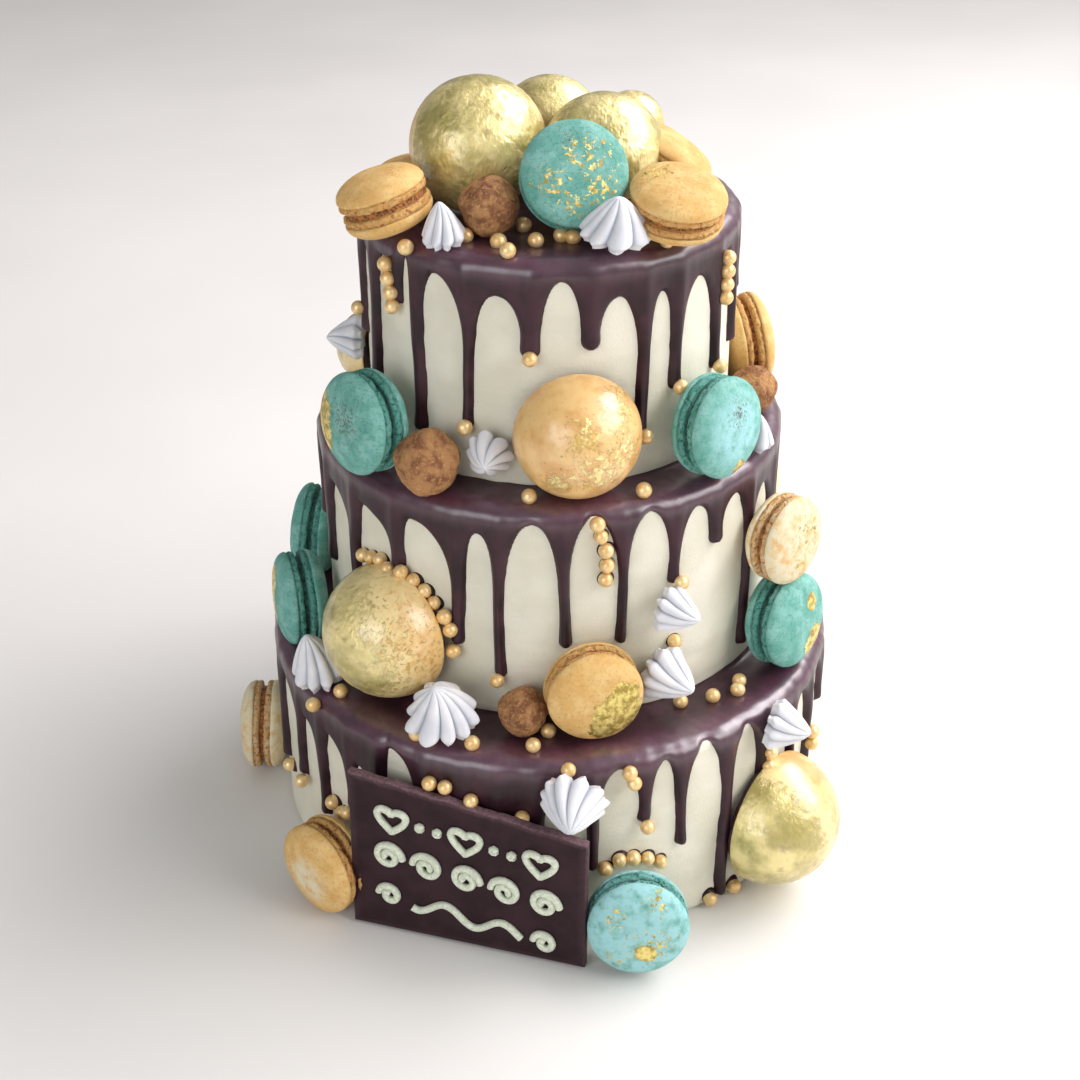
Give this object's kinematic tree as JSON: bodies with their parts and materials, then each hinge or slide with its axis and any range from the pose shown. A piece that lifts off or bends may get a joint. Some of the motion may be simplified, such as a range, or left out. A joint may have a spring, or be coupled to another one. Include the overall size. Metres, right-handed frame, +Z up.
{
  "type": "wedding cake",
  "caption": "Tiered round cream wedding cake with dark chocolate drips, dressed with macarons, gold-leafed domes, meringue kisses, truffles, sugar pearls and a chocolate plaque.",
  "frame": {"origin": "centre of the bottom tier's underside, which stands on z = 0", "axes": "+Z up, the front with the plaque faces -Y, +X to the viewer's right"},
  "size_m": [0.2813, 0.3027, 0.332],
  "materials": {
    "cream": "smoothed ivory cream with a faint grain, satin",
    "ganache": "set dark chocolate ganache, soft gloss with a mauve sheen",
    "plaque_chocolate": "cast dark chocolate, satin, lighter worn edges",
    "piping": "pale piped icing",
    "gilded_shell": "peach chocolate shell under crinkled gold leaf, glossy",
    "truffle": "chocolate rolled in cocoa, dusty",
    "teal_macaron": "baked almond shell, teal, matt with flecks and gold",
    "peach_macaron": "baked almond shell, peach, matt with gold",
    "meringue": "smooth white piped meringue, matt",
    "sugar_pearl": "pearled sugar bead, satin gold"
  },
  "bodies": {
    "root": {"tier_bottom": "cream", "tier_middle": "cream", "tier_top": "cream", "ganache_bottom": "ganache", "ganache_middle": "ganache", "ganache_top": "ganache", "plaque": "plaque_chocolate", "dome_1": "gilded_shell", "dome_2": "gilded_shell", "dome_3": "gilded_shell", "dome_4": "gilded_shell", "dome_5": "gilded_shell", "dome_6": "gilded_shell", "dome_7": "gilded_shell", "dome_8": "gilded_shell", "dome_9": "gilded_shell", "dome_10": "gilded_shell", "ball_1": "gilded_shell", "ball_2": "gilded_shell", "truffle_1": "truffle", "truffle_2": "truffle", "truffle_3": "truffle", "truffle_4": "truffle", "macaron_teal_1": "teal_macaron", "macaron_teal_2": "teal_macaron", "macaron_teal_3": "teal_macaron", "macaron_teal_4": "teal_macaron", "macaron_teal_5": "teal_macaron", "macaron_teal_6": "teal_macaron", "macaron_teal_7": "teal_macaron", "macaron_teal_8": "teal_macaron", "macaron_teal_9": "teal_macaron", "macaron_teal_10": "teal_macaron", "macaron_teal_11": "teal_macaron", "macaron_peach_1": "peach_macaron", "macaron_peach_2": "peach_macaron", "macaron_peach_3": "peach_macaron", "macaron_peach_4": "peach_macaron", "macaron_peach_5": "peach_macaron", "macaron_peach_6": "peach_macaron", "macaron_peach_7": "peach_macaron", "macaron_peach_8": "peach_macaron", "macaron_peach_9": "peach_macaron", "macaron_peach_10": "peach_macaron", "macaron_peach_11": "peach_macaron", "macaron_peach_12": "peach_macaron", "kiss_1": "meringue", "kiss_2": "meringue", "kiss_3": "meringue", "kiss_4": "meringue", "kiss_5": "meringue", "kiss_6": "meringue", "kiss_7": "meringue", "kiss_8": "meringue", "kiss_9": "meringue", "kiss_10": "meringue", "kiss_11": "meringue", "kiss_12": "meringue", "kiss_13": "meringue"}
  },
  "joints": []
}
